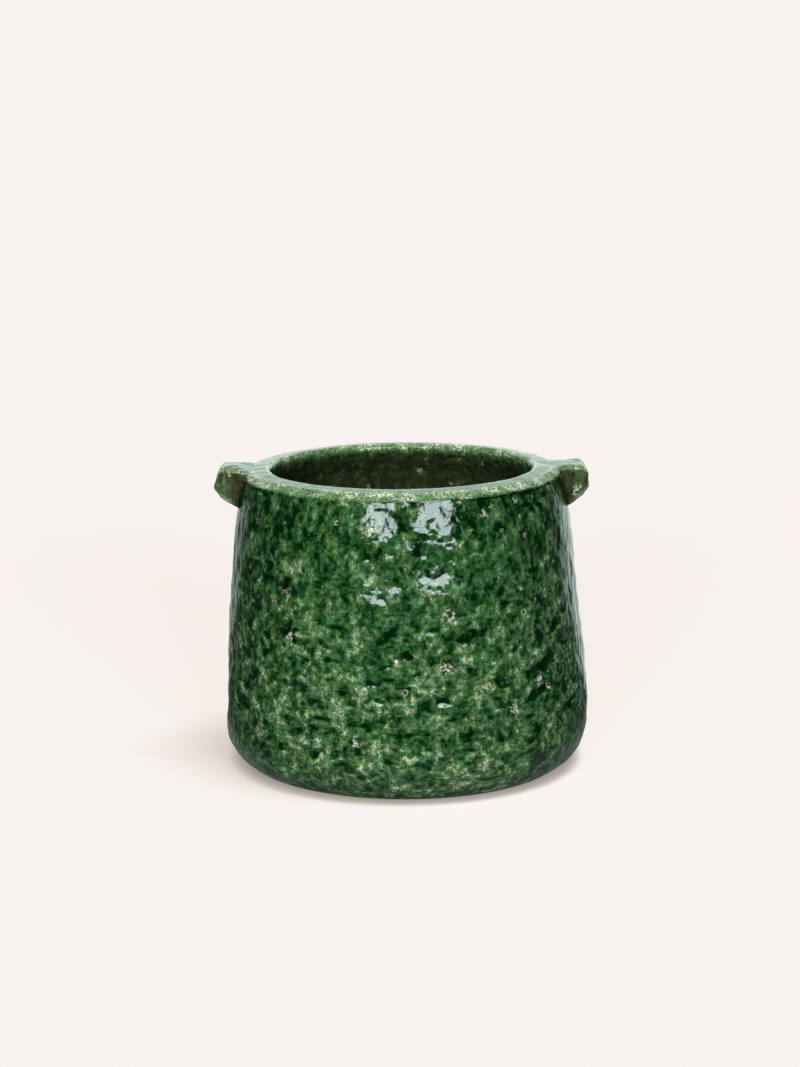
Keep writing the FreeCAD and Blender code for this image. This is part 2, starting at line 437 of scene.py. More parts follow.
def addNode(tree, kind, settings, inputs, output=0):
    # a node with its settings; an input is a value, or the socket that feeds it; gives back one output
    node = tree.nodes.new("ShaderNode" + kind)
    for key, value in settings.items():
        setattr(node, key, value)
    for key, value in inputs.items():
        if isinstance(value, bpy.types.NodeSocket):
            tree.links.new(value, node.inputs[key])
        else:
            node.inputs[key].default_value = value
    return node.outputs[output] if node.outputs else None


def emptyTree(holder):
    holder.use_nodes = True
    holder.node_tree.nodes.clear()
    return holder.node_tree


def calc(tree, operation, *values, kind="Math"):
    return addNode(tree, kind, {"operation": operation}, dict(enumerate(values)))


def within(tree, distance, reach, soft):
    # 1 well inside the reach, 0 outside it, with a soft edge
    inside = calc(tree, "SUBTRACT", reach, distance)
    return addNode(tree, "MapRange", {"interpolation_type": "SMOOTHSTEP"}, {"Value": inside, "From Max": soft})


def remap(tree, value, low, high, start=0.0, end=1.0):
    # a straight line from start at low to end at high, level beyond them
    return addNode(tree, "MapRange", {}, {
        "Value": value, "From Min": low, "From Max": high, "To Min": start, "To Max": end})


def blend(tree, share, a, b):
    # a where the share is 0, b where it is 1
    return addNode(tree, "Mix", {"data_type": "FLOAT"}, {0: share, 2: a, 3: b})


glazeLook = {
    "noises": {  # mm across, detail, roughness, and the coordinates it reads
        "mottle": (3.0, 5.0, 0.66, "pushed"),
        "cloud": (8.5, 1.5, 0.5, "pushed"),
        "drift": (30.0, 1.0, 0.5, "place"),
        "fleck": (1.3, 1.5, 0.5, "place"),
        "grit": (1.1, 2.0, 0.6, "place"),
        "speck": (1.3, 1.0, 0.5, "place"),
        "split": (3.2, 1.0, 0.5, "place"),
        "ripple": (4.5, 1.0, 0.4, "place"),
        "stain": (13.0, 3.0, 0.6, "pushed"),
    },
    "warp": (4.0, 2.2),  # mm across, and how far the pattern is pushed about
    "fray": (1.4, 3.4),  # the same for the pinholes
    "flow": (-1.5, 1.1),  # how drawn out it is: change for each metre up, value at the floor
    "hue": 4.0,
    "tint": ((1.3, 0.5, 1.3), (0.37, 0.785, 0.24)),  # how far the green wanders, and from where
    "mixes": {  # a start value, and what is added to it of each layer
        "raggedDent": (-0.57, {"dent": 1.0, "mottle": 1.15}),
        "dentEdge": (0.06, {"raggedDent": 1.0}),
        "thinOnWall": (-1.02, {
            "mottle": 2.35, "cloud": 1.05, "drift": 0.3, "glazePoolAndShade": -0.6, "dentPool": -0.46, "dentMargin": 0.08}),
        "thinOnEdge": (-0.03, {"fleck": 1.3, "broken": 0.12, "mottle": 0.5, "glazePoolAndShade": -0.25, "thinEdge": 0.1}),
        "splitLine": (-0.5, {"split": 1.0}),
        "cream": (-0.50, {
            "grit": 1.0, "thin": 0.6, "burst": 0.5, "broken": 0.23, "dullSkip": 0.08, "linerAndShade": -0.06}),
        "pepper": (-0.12, {"speck": 1.0, "thin": 0.2, "burst": 0.1, "broken": 0.06}),
        "smudge": (-0.2, {"stain": 1.0, "mottle": 0.4}),
        "skips": (-1.1, {"mottle": 1.4, "grit": 2.0}),
        "pits": (0.0, {"core": -1.0, "crack": -1.0, "pepper": -0.5, "ripple": 1.0, "mottle": 0.2}),
        "calm": (0.6, {"thinEdge": -0.35}),
        "gloss": (1.0, {"bareClay": -1.0, "smudge": -0.3, "dullSkip": -0.5, "low": -0.7}),
    },
    "masks": {  # the value it starts at, and over how much it rises to 1
        "dentPool": (-0.05, 0.55),
        "onEdge": (0.74, 0.3),
        "inBurst": (0.35, 0.25),
        "cream": (0.58, 0.22),
        "pepper": (0.64, 0.06),
        "smudge": (0.60, 0.25),
    },
    "dentMargin": (0.10, 0.10),  # half-width and softness of a line
    "crack": (0.04, 0.02),
    "patchy": (0.38, 0.62),
    "edgeShare": 0.9,
    "pinhole": 8.0,
    "pinholes": {"core": (0.42, 0.12, 0.04), "ring": (0.34, 0.26, 0.10)},  # share without, radius, softness
    "ringGrit": (0.38, 0.58, 0.0, 0.9),
    "footDull": (16.0, 2.0),  # the gloss fades going down between these heights
    "bodyRelief": 1.5,
    "skinRelief": 0.5,
    "coats": [  # one over the other: where it lies, how much it covers, its colour
        ("dusky", 0.7, "#5d553f"),
        ("smudge", 0.5, "#2c251a"),
        # the inside's duskier glaze, darkened further as painted shade inside the pot
        ("linerAndShade", 0.72, "#2c2a1a"),
        ("cream", 0.65, "#dfdec6"),
        ("pepper", 0.8, "#1a0f08"),
        ("crack", 0.95, "#1a0f08"),
        ("ring", 0.6, "#dfdec6"),
        ("core", 1.0, "#1a0f08"),
        ("bareClay", 1.0, "#8a6a52"),
    ],
    "stops": [
        (0.00, "#001604"),
        (0.15, "#042609"),
        (0.32, "#173b1a"),
        (0.50, "#305130"),
        (0.68, "#4b6b46"),
        (0.86, "#718a67"),
        (1.00, "#a3ae8d"),
    ],
}


def copperGreenGlaze(look):
    # Glossy copper-green glaze over coarse stoneware: dark green where it pools, milky and cream where it breaks
    # over grit and edges, with burst pinholes and dull grey-brown smudges
    material = bpy.data.materials.new("copper green stoneware glaze, glossy")
    tree = emptyTree(material)
    layer = {}  # what steers the glaze, by name

    def mix(name):
        total, weights = look["mixes"][name]
        for key, weight in weights.items():
            total = calc(tree, "MULTIPLY_ADD", layer[key], weight, total)
        return total

    def mask(name, value):
        start, rise = look["masks"][name]
        return within(tree, start, value, rise)

    for name in ("glazePoolAndShade", "thinEdge", "bareClay", "linerAndShade", "dullSkip", "dent", "burst"):
        layer[name] = addNode(tree, "Attribute", {"attribute_name": name}, {}, "Fac")

    # the pattern is stretched down the wall near the top and flattened near the foot, then pushed about
    place = addNode(tree, "TexCoord", {}, {}, "Object")
    axis = addNode(tree, "SeparateXYZ", {}, {0: place}).node.outputs
    slack = calc(tree, "MULTIPLY_ADD", axis["Z"], *look["flow"])
    run = calc(tree, "MULTIPLY", axis["Z"], slack)
    drawn = addNode(tree, "CombineXYZ", {}, {"X": axis["X"], "Y": axis["Y"], "Z": run})
    coordinates = {"place": place}
    for name, base, (size, reach) in [("pushed", drawn, look["warp"]), ("frayed", place, look["fray"])]:
        push = addNode(tree, "TexNoise", {}, {"Vector": base, "Scale": 1.0 / (size * mm), "Detail": 2.0}, "Color")
        coordinates[name] = calc(tree, "MULTIPLY_ADD", push, (reach * mm,) * 3, base, kind="VectorMath")
    for name, (size, detail, roughness, at) in look["noises"].items():
        layer[name] = addNode(tree, "TexNoise", {}, {
            "Vector": coordinates[at], "Scale": 1.0 / (size * mm), "Detail": detail, "Roughness": roughness})

    # thinness of the glaze, about 0 in pools and painted shade to 1 on bare crests; a dent is a dark pool with a paler
    # margin
    layer["raggedDent"] = mix("raggedDent")
    layer["dentPool"] = mask("dentPool", layer["raggedDent"])
    margin = calc(tree, "ABSOLUTE", mix("dentEdge"))
    layer["dentMargin"] = within(tree, margin, *look["dentMargin"])
    patchy = remap(tree, layer["cloud"], *look["patchy"])
    layer["broken"] = calc(tree, "MULTIPLY", mask("onEdge", layer["thinEdge"]), patchy)
    share = addNode(tree, "Math", {"operation": "MULTIPLY", "use_clamp": True}, {
        0: layer["thinEdge"], 1: look["edgeShare"]})
    layer["thin"] = blend(tree, share, mix("thinOnWall"), mix("thinOnEdge"))
    ramp = addNode(tree, "ValToRGB", {}, {"Fac": layer["thin"]})
    stops = ramp.node.color_ramp.elements
    while len(stops) < len(look["stops"]):
        stops.new(0.5)
    for stop, (position, colour) in zip(stops, look["stops"]):
        stop.position = position
        stop.color = linear(colour)

    # the green wanders towards yellow and blue
    hue = addNode(tree, "TexNoise", {}, {
        "Vector": coordinates["pushed"], "Scale": 1.0 / (look["hue"] * mm), "Detail": 2.0}, "Color")
    tint = calc(tree, "MULTIPLY_ADD", hue, *look["tint"], kind="VectorMath")
    colour = addNode(tree, "Mix", {"data_type": "RGBA", "blend_type": "MULTIPLY"}, {0: 1.0, 6: ramp, 7: tint}, 2)

    # bursts are split by dark cracks
    splitLine = calc(tree, "ABSOLUTE", mix("splitLine"))
    layer["crack"] = calc(tree, "MULTIPLY", within(tree, splitLine, *look["crack"]), mask("inBurst", layer["burst"]))

    # cream grit and dark pepper where the glaze is thin, grey-brown smudges, and the duskier glaze of the lugs
    for name in ("cream", "pepper", "smudge"):
        layer[name] = mask(name, mix(name))
    layer["dusky"] = calc(tree, "MULTIPLY", layer["dullSkip"], mix("skips"))

    # burst pinholes: a scorched core in a broken cream ring
    hole = addNode(tree, "TexVoronoi", {}, {
        "Vector": coordinates["frayed"], "Scale": 1.0 / (look["pinhole"] * mm)}).node.outputs
    pick = addNode(tree, "SeparateColor", {}, {0: hole["Color"]}, 1)
    for name, (without, radius, soft) in look["pinholes"].items():
        layer[name] = within(tree, hole["Distance"], remap(tree, pick, without, 1.0, 0.0, radius), soft)
    layer["ring"] = calc(tree, "MULTIPLY", layer["ring"], remap(tree, layer["grit"], *look["ringGrit"]))

    for name, cover, coat in look["coats"]:
        share = calc(tree, "MULTIPLY", layer[name], cover)
        colour = addNode(tree, "Mix", {"data_type": "RGBA"}, {0: share, 6: colour, 7: linear(coat)}, 2)

    # the clay body is lumpy under the glaze, which is smooth but for pits and a slight ripple
    body = addNode(tree, "Bump", {}, {
        "Height": layer["thin"], "Strength": 0.8, "Distance": look["bodyRelief"] * mm})
    skin = addNode(tree, "Bump", {}, {
        "Height": mix("pits"), "Strength": mix("calm"), "Distance": look["skinRelief"] * mm})
    layer["low"] = remap(tree, axis["Z"], *(z * mm for z in look["footDull"]))
    shader = addNode(tree, "BsdfPrincipled", {}, {
        "Base Color": colour, "Roughness": 0.7, "Specular IOR Level": 0.0, "Normal": body,
        "Coat Weight": mix("gloss"), "Coat Roughness": 0.03, "Coat IOR": 1.5, "Coat Normal": skin})
    addNode(tree, "OutputMaterial", {}, {"Surface": shader})
    return material


glaze = copperGreenGlaze(glazeLook)


# Turned pieces: the section carried round the axis

columns = 720
angles = np.arange(columns) * 2 * math.pi / columns


def aroundAxis(radius, z):
    return np.stack([radius * np.cos(angles), radius * np.sin(angles), z + 0 * angles], axis=-1)


spacing = {  # of the rows, in millimetres: usual, and at a corner
    "outside": (1.16, 1.16),
    "inside": (6.0, 6.0),
    "rim": (1.0, 0.3),
    "foot": (1.1, 0.5),
    "cornerReach": 1.6,
    "strip": 0.04,
}
# the seat's pool is painted shade on the wall round a lug's root
lugSeat = {"halfWidth": 14.5, "bottomZ": 130.0, "depth": 1.3, "pool": 0.55}
rimLook = {
    "waver": (9.0, 0.6, 83),  # of the bevel's lower edge: size across, height, seed
    "waverReach": 2.0,
    "ragged": [(7.0, 0.9, 73), (2.4, 0.9, 79)],  # the same for where the glaze thins on the bevel
    "topThin": 0.7,  # how thin the glaze is
    "topCalm": 0.6,  # the relief of the top is less by this share
    "turnThin": (0.8, 0.08, 0.6),  # on turns of the section, between these radians per millimetre
    "edgeThin": 0.35,
    "paintedUnderShade": 0.7,  # painted shade under the overhang
}


def lugLevel(y, run):
    # rounded-square distance from the middle of a lug's seat, 1 on its edge
    low, high = outsideRun(lugSeat["bottomZ"]), brimRun - 1.0
    across = np.abs(y) / lugSeat["halfWidth"]
    along = np.abs(run - (low + high) / 2) / ((high - low) / 2)
    return (across ** 4 + along ** 4) ** 0.25


def spacedRuns(start, end, name, corners=()):
    # distances along the section, closer together near its corners, with a thin strip at each end for a clean seam
    coarse, fine = spacing[name]
    line = np.linspace(start, end, 4000)
    density = np.full(len(line), 1.0 / coarse)
    for corner in corners:
        density = np.maximum(density, np.exp(-((line - corner) / spacing["cornerReach"]) ** 2) / fine)
    count = np.concatenate([[0], np.cumsum((density[1:] + density[:-1]) / 2 * np.abs(np.diff(line)))])
    middle = np.interp(np.linspace(0, count[-1], int(count[-1]) + 2), count, line)
    strip = spacing["strip"] * np.sign(end - start)
    return np.concatenate([[start, start + strip], middle[1:-1], [end - strip, end]])


def turnedRings(runs):
    # points of the displaced skin and their glaze, for each distance along the section and each angle
    r, z, normalR, normalZ = onSection(runs[:, None])
    turn = np.interp(runs, skin["run"], skin["turn"])

    base = aroundAxis(r, z)
    size, rise, seed = rimLook["waver"]
    base[..., 2] += rise * noise(base, size, seed) * np.exp(-((runs - lipRun) / rimLook["waverReach"]) ** 2)[:, None]
    height, marks = surfaceRelief(base)
    level = lugLevel(base[..., 1], runs[:, None])
    clear = ease(0.9, 1.15, level)  # 0 on a lug's seat, 1 beside it
    height = height - lugSeat["depth"] * ease(1.0, 0.8, level)

    # the glaze is thin on the bevel, the rim's top and edges, and the mouth's round
    ragged = sum(reach * noise(base, size, seed) for size, reach, seed in rimLook["ragged"])
    onBevel = ease(lipRun - 1.2, lipRun + 0.6, runs[:, None] + ragged) * ease(brimRun + 1.5, brimRun, runs)[:, None]
    onMouth = ease(mouthRun - 5.0, mouthRun - 3.5, runs) * ease(mouthRun + 5.0, mouthRun, runs)
    onTop = ease(brimRun - 0.5, brimRun + 0.5, runs) * ease(mouthRun, mouthRun - 3.0, runs)
    edges = np.exp(-((runs - brimRun) / 0.8) ** 2) + np.exp(-((runs - mouthRun + 3.0) / 1.0) ** 2)
    turnThin, *turnSpan = rimLook["turnThin"]
    flats = np.max([turnThin * ease(*turnSpan, turn), onMouth, rimLook["topThin"] * onTop], axis=0)
    thin = (np.maximum(flats[:, None], onBevel) + rimLook["edgeThin"] * edges[:, None]) * clear
    height = height * (1.0 - rimLook["topCalm"] * onTop[:, None])

    # the bevel fades out in front of a lug
    fade = ease(lipRun - 1.5, lipRun + 1.0, runs) * ease(brimRun + 0.5, brimRun - 2.0, runs)
    height = height + section["bevelFill"] * fade[:, None] * ease(2.2, 1.3, level) * ease(10.0, -10.0, base[..., 1])
    # the bevel's lower edge overhangs the wall a little towards the right; painted shade darkens under it and round the
    # lugs' roots
    right = ease(-0.1, 0.5, np.cos(angles))
    overhang = ease(lipRun - 0.3, lipRun + 0.2, runs) * ease(brimRun, lipRun + 1.5, runs)
    height = height + section["overhang"] * overhang[:, None] * right * clear
    under = np.exp(-((runs - lipRun + 0.8) / 0.6) ** 2)[:, None] * right
    marks["glazePoolAndShade"] = marks["glazePoolAndShade"] + lugSeat["pool"] * ease(1.35, 1.0, level) + rimLook["paintedUnderShade"] * under
    # the inside's own darker glaze and painted shade fade in below the mouth
    linerAndShade = ease(mouthRun - 1.5, mouthRun + 7.0, runs)[:, None] + 0 * angles
    rings = handBuilt(base + aroundAxis(normalR, normalZ) * height[..., None])
    return rings, attributesFor(rings, marks, thin, linerAndShade, 0 * linerAndShade)


def footBare(rings):
    # bare clay under the foot and in a ragged line just above it
    ragged = 0.8 + 0.7 * noise(rings, 6.0, 71)
    return ease(ragged + 0.5, ragged - 0.5, rings[..., 2])


def attributesFor(rings, marks, thin, linerAndShade, dull):
    return {**marks, "thinEdge": thin, "bareClay": footBare(rings), "linerAndShade": linerAndShade, "dullSkip": dull}


def stack(parts):
    # one after another, rows of points and their values
    rings, attributes = zip(*parts)
    return np.concatenate(rings), {key: np.concatenate([values[key] for values in attributes]) for key in attributes[0]}


def hiddenPart(radius, z):
    # one level ring that is hidden in a seam
    ring = handBuilt(aroundAxis(radius, float(z)))[None]
    blank = np.zeros(ring.shape[:2])
    marks = {"glazePoolAndShade": blank + relief["poolLevel"], "dent": blank, "burst": blank}
    return ring, attributesFor(ring, marks, blank, blank, blank)


floorRadius = onSection(insideRun(floorZ))[0]

wallParts = [
    turnedRings(spacedRuns(outsideRun(seatZ), outsideRun(neckZ), "outside")),
    turnedRings(spacedRuns(insideRun(neckZ), insideRun(floorZ), "inside")),
    hiddenPart(floorRadius, seatZ),
]
potWall = makePiece("potWall", *stack(wallParts), loop=True)
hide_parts("wall")

rimCorners = [lipRun, brimRun, mouthRun - 3.5, mouthRun - 0.3]
rimRuns = spacedRuns(outsideRun(neckZ), insideRun(neckZ), "rim", rimCorners)
rimCoil = makePiece("rimCoil", *turnedRings(rimRuns), loop=True)
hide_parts("rim_coil")

slab = {
    "footRing": 13.0,
    "hollowDepth": 1.8,
    "hollowDraft": 2.5,
    "floorRows": 26,
    "underRows": 16,
    "footRows": 5,
    "floorRelief": 0.6,
}
footRadius = skin["r"][0]
insideLift = np.array([0.0, 0.0, 40.0])  # the floor and cove read the relief higher up, where it is full


def insideRings(radii, heights, roughness):
    # level rings with a little unevenness, for the floor, the underside and the seam coil
    flat = aroundAxis(radii[:, None], heights[:, None])
    height, marks = surfaceRelief(flat + insideLift)
    flat[..., 2] += roughness * height
    rings = handBuilt(flat)
    return rings, attributesFor(rings, marks, 0 * height, 0 * height + 1.0, 0 * height)


hollowEdge = footRadius - slab["footRing"]
underRadii = np.concatenate([
    np.linspace(1.0, hollowEdge - slab["hollowDraft"], slab["underRows"]),
    np.linspace(hollowEdge, footRadius - 1.0, slab["footRows"])])
underHeights = np.where(underRadii < hollowEdge, slab["hollowDepth"], 0.0)
floorRadii = np.linspace(floorRadius, 1.0, slab["floorRows"])
slabParts = [
    insideRings(underRadii, underHeights, 0.0),
    turnedRings(spacedRuns(0.0, outsideRun(seatZ), "foot", [0.0])),
    hiddenPart(floorRadius, seatZ),
    insideRings(floorRadii, np.full(len(floorRadii), floorZ), slab["floorRelief"]),
]
baseSlab = makePiece("baseSlab", *stack(slabParts), poles=True)
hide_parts("base_slab")


# Seam coil: a cove section, concave towards the inside of the pot

cove = {"rows": 14, "corner": 0.999}  # the curve's control point is just off the corner
coveCorner = np.array([floorRadius, floorZ])
coveWall = np.array([onSection(insideRun(coveZ))[0], coveZ]) - coveCorner
coveFoot = coveCorner - np.array([np.hypot(*coveWall), 0.0])
coveT = np.linspace(0, 1, cove["rows"])[:, None]
coveLine = (1 - coveT) ** 2 * coveFoot + 2 * coveT * (1 - coveT) * coveCorner * cove["corner"]
coveLine = coveLine + coveT ** 2 * (coveCorner + coveWall)
coveLine = np.concatenate([coveLine, [coveCorner]])
seamCoil = makePiece("seamCoil", *insideRings(*coveLine.T, 0.0), loop=True)
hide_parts("seam_coil")


# Lugs: each rib leaves along the wall as a Bezier curve, runs out along the lug and rounds into its end

lugCommon = {
    "ribs": 240,  # round the lug
    "rootHalfWidth": 19.0,
    "rootBottomZ": 128.6,
    "innerHalfWidth": 16.0,
    "innerBottomZ": 131.4,
    "crestSetIn": (1.6, 0.4),  # how far the root reaches onto the rim's top, at its edge and closer in
    "sink": 0.7,  # the root's edge lies this far under the pot's skin
    "neckLead": 0.35,
    "lumps": (7.0, 0.55, 67),  # size across, height, seed
    "lumpSpan": (0.1, 0.6),
    "reliefShare": 0.7,
    "thin": (0.9, 0.06, 0.35),  # how thin the glaze is on edges, between these radians per millimetre
    "poolShare": 0.6,
    "hollowPoolAndShade": (0.5, 0.06, 0.3),  # and how deep in hollows, glaze pooling with painted shade
    "grooveShade": 1.2,  # and painted shade round the root, where the lug faces down
    "dentLess": 0.2,
    "flankSpan": (0.55, 0.85),
    "dullEnd": 4.0,  # the dusky flanks stop this far from the end
    "pinch": 1.1,  # the flanks are hollowed by this much
    "bevelPower": 1.45,  # 1 gives the end a flat chamfer, 2 a round
    "proud": 0.35,  # the lug's top stands this far above the rim's
    "capRows": 8,
    "flareRows": 40,
    "sideRows": 16,
    "endRows": 20,
    "faceRows": 14,
}
lugShapes = {
    "lugRight": {
        "side": 1.0, "node": "right_lug", "short": 0.4, "slant": 0.0, "lift": 0.0, "squareness": 9.0,
        "neck": 85.4, "neckHalfWidth": 12.2, "endHalfWidth": 11.0, "neckDrop": 18.4, "endDrop": 12.0,
        "endRound": 4.0, "roundShares": (0.5, 1.0, 0.3),
    },
    "lugLeft": {
        "side": -1.0, "node": "left_lug", "short": -0.8, "slant": 1.7, "lift": 0.9, "squareness": 6.0,
        "neck": 85.4, "neckHalfWidth": 12.4, "endHalfWidth": 10.2, "neckDrop": 19.0, "endDrop": 13.6,
        "endRound": 5.2, "roundShares": (0.8, 0.9, 0.5),
    },
}


def squareLoop(squareness):
    # a superellipse: across and up run from -1 to 1 round the loop
    turn = np.arange(lugCommon["ribs"]) * 2 * math.pi / lugCommon["ribs"]
    power = 2.0 / squareness
    across = np.sign(np.cos(turn)) * np.abs(np.cos(turn)) ** power
    up = np.sign(np.sin(turn)) * np.abs(np.sin(turn)) ** power
    return across, up


def makeLug(name, shape):
    side = shape["side"]
    across, up = squareLoop(shape["squareness"])
    reach = abs(nodeBox(shape["node"])[1 if side > 0 else 0][0]) - shape["short"]
    topZ = potTop + shape["proud"] + shape["lift"]

    def skinLoop(halfWidth, bottomZ, setIn, sink, scale=1.0):
        # a loop laid on the pot's skin, from the wall up over the bevel onto the rim's top
        low, high = outsideRun(bottomZ), brimRun + setIn
        r, z, normalR, normalZ = onSection((low + high) / 2 + scale * up * (high - low) / 2)
        y = scale * across * halfWidth
        x = np.sqrt(r ** 2 - y ** 2)
        return np.stack([side * (x - sink * normalR), y, z - sink * normalZ], axis=-1)

    def freeLoop(x, inset=0.0):
        # a loop square to the lug's length, hanging from just above the rim; insets for the sides, top and bottom
        share = (x - shape["neck"]) / (reach - shape["neck"])
        halfWidth = shape["neckHalfWidth"] + share * (shape["endHalfWidth"] - shape["neckHalfWidth"])
        drop = shape["neckDrop"] + share * (shape["endDrop"] - shape["neckDrop"])
        sideInset, topInset, bottomInset = (inset * k for k in shape["roundShares"])
        high, low = topZ - topInset, topZ - drop + bottomInset
        return np.stack([
            side * (x - shape["slant"] * share * (1 + up) / 2),
            across * (halfWidth - sideInset - shape["pinch"] * (1 - up ** 2)),
            (high + low) / 2 + up * (high - low) / 2], axis=-1)

    rootEdge = shape["rootHalfWidth"], shape["rootBottomZ"], shape["crestSetIn"][0]
    root = skinLoop(*rootEdge, shape["sink"])
    inner = skinLoop(shape["innerHalfWidth"], shape["innerBottomZ"], shape["crestSetIn"][1], 0.0)
    neck = freeLoop(shape["neck"])
    before = neck - (freeLoop(reach) - neck) * shape["neckLead"]
    t = np.linspace(0, 1, shape["flareRows"])[:, None, None]
    flare = (1 - t) ** 3 * root + 3 * t * (1 - t) ** 2 * inner + 3 * t ** 2 * (1 - t) * before + t ** 3 * neck
    capScale = np.linspace(0.04, 1.0, shape["capRows"], endpoint=False)
    cap = [skinLoop(*rootEdge, lugSeat["depth"], scale) for scale in capScale]

    rounding, power = shape["endRound"], shape["bevelPower"]
    sides = [freeLoop(x) for x in np.linspace(shape["neck"], reach - rounding, shape["sideRows"])[1:]]
    bends = np.sin(np.linspace(0, math.pi / 2, shape["endRows"]))[1:]
    ends = [freeLoop(reach - rounding * (1 - t), rounding * (1 - (1 - t ** power) ** (1 / power))) for t in bends]
    centre = ends[-1].mean(axis=0)
    face = [centre + (ends[-1] - centre) * s for s in np.linspace(1, 0.05, shape["faceRows"])[1:]]
    base = np.concatenate([cap, flare, sides, ends, face])

    normals = gridNormals(base)
    normals = normals * np.sign(np.sum((base - base.mean(axis=(0, 1))) * normals))
    row = np.arange(len(base))[:, None] - shape["capRows"]
    shown = (row >= 0) * np.ones(len(across))
    out = np.clip(row / shape["flareRows"], 0, 1)  # 0 at the root, 1 at the neck
    convex, concave = convexity(base, normals)
    height, marks = surfaceRelief(base)
    edgeThin, *edgeSpan = shape["thin"]
    thin = edgeThin * ease(*edgeSpan, convex) * shown
    hollowPoolAndShade, *hollowSpan = shape["hollowPoolAndShade"]
    # painted shade in the lug's hollows and in the downward-facing groove round its root
    groove = ease(1.0, 0.5, out) * ease(0.5, 0.1, normals[..., 2])
    pool = shape["poolShare"] * marks["glazePoolAndShade"] + hollowPoolAndShade * ease(*hollowSpan, -concave)
    marks["glazePoolAndShade"] = pool + shape["grooveShade"] * groove
    marks["dent"] = marks["dent"] - shape["dentLess"]
    flank = ease(*shape["flankSpan"], np.abs(normals[..., 1]))
    dull = flank * ease(reach, reach - shape["dullEnd"], np.abs(base[..., 0])) * shown
    size, lump, seed = shape["lumps"]
    height = shape["reliefShare"] * height + lump * noise(base, size, seed) * ease(*shape["lumpSpan"], out)
    rings = handBuilt(base + normals * (height * shown)[..., None])
    lug = makePiece(name, rings, attributesFor(rings, marks, thin, 0 * height, dull), poles=True)
    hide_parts(shape["node"])


for lugName, lugShape in lugShapes.items():
    makeLug(lugName, {**lugCommon, **lugShape})
print("pot built")


# Stage: a floor that runs out into a backdrop of the same colour, lit by a far-off studio

stageLook = {
    "backdrop": "#f8f3ef",
    "paper": (0.50, 0.50, 0.50),  # what the paper scatters of the light on it
    "paperGlow": (0.6447, 0.558, 0.5065),  # and the even light that reaches the lens with it
    "contact": 7.0,  # painted contact shadow: the paper's glow is darker within this distance of the pot
    "contactShade": 0.3,  # down to this share
    "floorHalf": 40.0,  # metres
    "mirroredFront": (0.3, 0.04),  # how bright the glaze mirrors the paper in front of the pot, near and far
    "frontSpan": (0.085, 0.17),  # metres from the axis
    "mirroredBack": (0.5, 0.95),  # and behind it, to the left and right
    "backTurn": (-0.2, 0.2),
    "bounce": 0.26,  # how the paper lights matt surfaces
    "front": 0.03,  # brightness of the dark half of the studio, in front of the pot
    "back": 1.15,  # of the backdrop behind it, as the glaze mirrors it
    "backTint": (0.89, 1.05, 1.0),
    "aside": 1.05,  # and of its two wings
    "wings": (-154.0, 146.0, 10.0),  # spans in degrees, to the right or up, and their softness
    "backHeight": (-90.0, 40.0, 3.0),
    "ceiling": 0.5,
    "backScattered": 0.04,  # how the backdrop and ceiling light matt surfaces
    "frontSide": (-139.0, 132.0, 11.0),
    "window": (11.0, 12.7, 13.0),
    "windowHeight": (6.3, 20.0, 0.3),
    "windows": [(-25.0, -8.0, 0.3), (10.0, 31.0, 0.3)],  # to the right of the camera, seen from the pot
}
lamps = {  # from: degrees to the right of the camera, and above the floor
    "keyLight": {"energy": 1.6, "colour": (0.90, 1.0, 1.08), "width": 22.0, "from": (64.0, 78.0), "onFloor": True},
    "frontFill": {"energy": 2.98, "colour": (1.0, 1.0, 1.0), "width": 30.0, "from": (-19.0, 40.0), "onFloor": False},
    "backFill": {"energy": 1.3, "colour": (1.0, 1.0, 1.0), "width": 30.0, "from": (172.0, 34.0), "onFloor": False},
}


def between(tree, value, low, high, soft):
    # 1 from low to high, with soft ends
    up = addNode(tree, "MapRange", {"interpolation_type": "SMOOTHSTEP"}, {
        "Value": value, "From Min": low - soft, "From Max": low + soft})
    down = addNode(tree, "MapRange", {"interpolation_type": "SMOOTHSTEP"}, {
        "Value": value, "From Min": high + soft, "From Max": high - soft})
    return calc(tree, "MULTIPLY", up, down)


def bearing(tree, vector):
    # degrees round to the right from the camera's side of the pot
    axis = addNode(tree, "SeparateXYZ", {}, {0: vector}).node.outputs
    toCamera = calc(tree, "MULTIPLY", axis["Y"], -1.0)
    return calc(tree, "DEGREES", calc(tree, "ARCTAN2", axis["X"], toCamera))


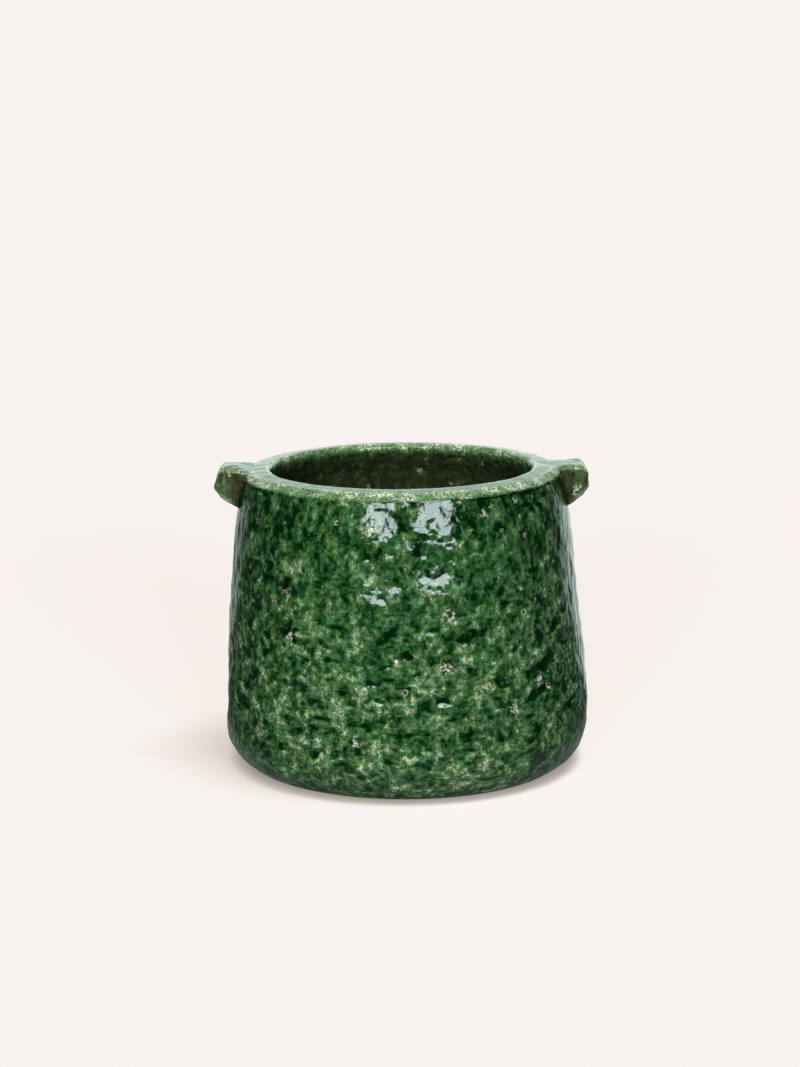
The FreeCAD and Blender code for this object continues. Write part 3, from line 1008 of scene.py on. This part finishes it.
def makeFloor(look):
    # Matt white paper with a painted contact shadow close to the pot. Mirrored in the glaze it is bright behind and
    # falls off in front
    material = bpy.data.materials.new("matt white paper")
    tree = emptyTree(material)
    place = addNode(tree, "TexCoord", {}, {}, "Object")
    scatter = addNode(tree, "BsdfDiffuse", {}, {"Color": look["paper"] + (1.0,)})
    # painted contact shadow: occlusion near the pot dims the paper's glow
    close = addNode(tree, "AmbientOcclusion", {"samples": 8}, {"Distance": look["contact"] * mm}, "AO")
    close = remap(tree, close, 0.0, 1.0, look["contactShade"])
    glow = addNode(tree, "Emission", {}, {"Color": look["paperGlow"] + (1.0,), "Strength": close})
    paper = addNode(tree, "AddShader", {}, {0: scatter, 1: glow})
    far = addNode(tree, "VectorMath", {"operation": "LENGTH"}, {0: place}, "Value")
    inFront = remap(tree, far, *look["frontSpan"], *look["mirroredFront"])
    frontMask = between(tree, bearing(tree, place), *look["frontSide"])
    toRight = addNode(tree, "SeparateXYZ", {}, {0: place}, "X")
    behind = remap(tree, toRight, *look["backTurn"], *look["mirroredBack"])
    mirrored = blend(tree, frontMask, behind, inFront)
    path = addNode(tree, "LightPath", {}, {}).node.outputs
    bright = blend(tree, path["Is Glossy Ray"], look["bounce"], mirrored)
    fromPot = addNode(tree, "Emission", {}, {"Color": look["backTint"] + (1.0,), "Strength": bright})
    seen = addNode(tree, "MixShader", {}, {0: path["Is Camera Ray"], 1: fromPot, 2: paper})
    addNode(tree, "OutputMaterial", {}, {"Surface": seen})
    half = look["floorHalf"]
    mesh = bpy.data.meshes.new("paperFloor")
    mesh.from_pydata([(-half, -half, 0), (half, -half, 0), (half, half, 0), (-half, half, 0)], [], [(0, 1, 2, 3)])
    mesh.materials.append(material)
    floor = bpy.data.objects.new("paperFloor", mesh)
    bpy.context.scene.collection.objects.link(floor)


def makeStudio(look):
    # the world by direction: dark in front, a bright backdrop low behind, a dim ceiling, two windows behind the camera
    world = bpy.data.worlds.new("studio")
    bpy.context.scene.world = world
    tree = emptyTree(world)
    toward = addNode(tree, "TexCoord", {}, {}, "Generated")
    around = bearing(tree, toward)
    height = addNode(tree, "SeparateXYZ", {}, {0: toward}, "Z")
    rise = calc(tree, "DEGREES", calc(tree, "ARCSINE", height))
    path = addNode(tree, "LightPath", {}, {}).node.outputs
    frontMask = between(tree, around, *look["frontSide"])
    wings = between(tree, around, *look["wings"])
    back = blend(tree, wings, look["back"], look["aside"])
    back = blend(tree, between(tree, rise, *look["backHeight"]), look["ceiling"], back)
    back = blend(tree, path["Is Glossy Ray"], look["backScattered"], back)
    grey = blend(tree, frontMask, back, look["front"])
    total = addNode(tree, "VectorMath", {"operation": "SCALE"}, {0: look["backTint"], "Scale": grey})
    level = between(tree, rise, *look["windowHeight"])
    for window in look["windows"]:
        pane = calc(tree, "MULTIPLY", between(tree, around, *window), level)
        total = calc(tree, "MULTIPLY_ADD", pane, look["window"], total, kind="VectorMath")
    seen = addNode(tree, "Mix", {"data_type": "RGBA"}, {
        0: path["Is Camera Ray"], 6: total, 7: linear(look["backdrop"])}, 2)
    light = addNode(tree, "Background", {}, {"Color": seen})
    addNode(tree, "OutputWorld", {}, {"Surface": light})


def makeLamp(name, look):
    # a broad soft light, far off; it shapes the shading and leaves no highlight
    lamp = bpy.data.lights.new(name, "SUN")
    lamp.energy = look["energy"]
    lamp.color = look["colour"]
    lamp.angle = math.radians(look["width"])
    holder = bpy.data.objects.new(name, lamp)
    around, above = look["from"]
    holder.rotation_euler = (math.radians(90.0 - above), 0.0, math.radians(around))
    holder.visible_glossy = False
    if not look["onFloor"]:
        holder.light_linking.receiver_collection = potPieces
    bpy.context.scene.collection.objects.link(holder)


makeFloor(stageLook)
makeStudio(stageLook)
for lampName, lampLook in lamps.items():
    makeLamp(lampName, lampLook)

shot = {
    "place": (-2.4, -1250.0, 366.0),
    "pitch": 11.36,  # degrees down
    "focalPixels": 2528.0,
    "imageHeight": 1067.0,
    "sensor": 36.0,
}
cameraData = bpy.data.cameras.new("shotCamera")
cameraData.sensor_width = shot["sensor"]
cameraData.lens = shot["focalPixels"] / shot["imageHeight"] * shot["sensor"]
cameraData.clip_end = 200.0
camera = bpy.data.objects.new("shotCamera", cameraData)
camera.location = [value * mm for value in shot["place"]]
camera.rotation_euler = (math.radians(90.0 - shot["pitch"]), 0.0, 0.0)
bpy.context.scene.collection.objects.link(camera)
bpy.context.scene.camera = camera
bpy.context.scene.view_settings.view_transform = "Standard"
print("stage and camera set")
